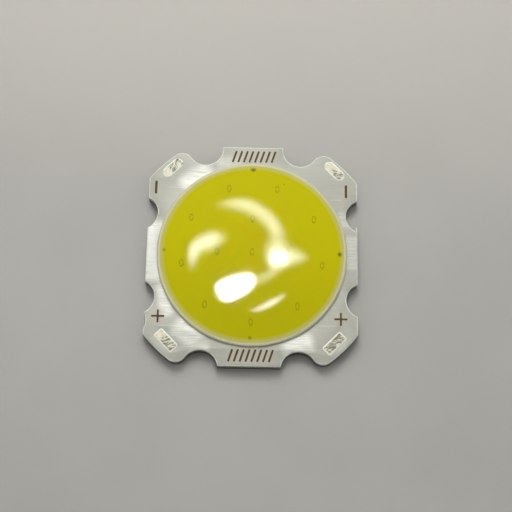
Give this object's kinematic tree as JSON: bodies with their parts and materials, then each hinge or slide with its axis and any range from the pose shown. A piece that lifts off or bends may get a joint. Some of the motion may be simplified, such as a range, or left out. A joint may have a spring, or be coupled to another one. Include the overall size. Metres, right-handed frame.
{
  "type": "chip-on-board led",
  "caption": "Flat notched aluminium board with a yellow phosphor disc over blue dies, tinned corner pads and round screw notches; lights when fed with direct current.",
  "frame": {"origin": "centre of the light-emitting disc and of the printed side, on the underside of the board", "axes": "+Z the way the light leaves, +Y towards the end tab between the two negative pads, +X to the right seen from above"},
  "size_m": [0.0222, 0.0242, 0.0022],
  "materials": {
    "aluminium_base": "brushed, sheared edges",
    "laminate": "cream resin film",
    "copper": "thin rolled copper",
    "top_coat": "silver lacquer with brush lines",
    "tin": "tinned, scratched",
    "dam_silicone": "milky silicone",
    "phosphor": "glossy yellow silicone",
    "die_glue": "clear silicone glue",
    "die": "polished sapphire",
    "gold": "drawn gold wire"
  },
  "bodies": {
    "root": {"base_plate": "aluminium_base", "laminate": "laminate", "positive_track": "copper", "negative_track": "copper", "top_coat": "top_coat", "positive_pad_left": "tin", "positive_pad_right": "tin", "negative_pad_left": "tin", "negative_pad_right": "tin", "dam_ring": "dam_silicone", "phosphor_gel": "phosphor", "die_glue": "die_glue", "led_die_1": "die", "led_die_2": "die", "led_die_3": "die", "led_die_4": "die", "led_die_5": "die", "led_die_6": "die", "led_die_7": "die", "led_die_8": "die", "led_die_9": "die", "led_die_10": "die", "led_die_11": "die", "led_die_12": "die", "led_die_13": "die", "led_die_14": "die", "bond_wire_1_1": "gold", "bond_wire_1_2": "gold", "bond_wire_1_3": "gold", "bond_wire_1_4": "gold", "bond_wire_1_5": "gold", "bond_wire_1_6": "gold", "bond_wire_1_7": "gold", "bond_wire_1_8": "gold", "bond_wire_2_1": "gold", "bond_wire_2_2": "gold", "bond_wire_2_3": "gold", "bond_wire_2_4": "gold", "bond_wire_2_5": "gold", "bond_wire_2_6": "gold", "bond_wire_2_7": "gold", "bond_wire_2_8": "gold"}
  },
  "joints": []
}
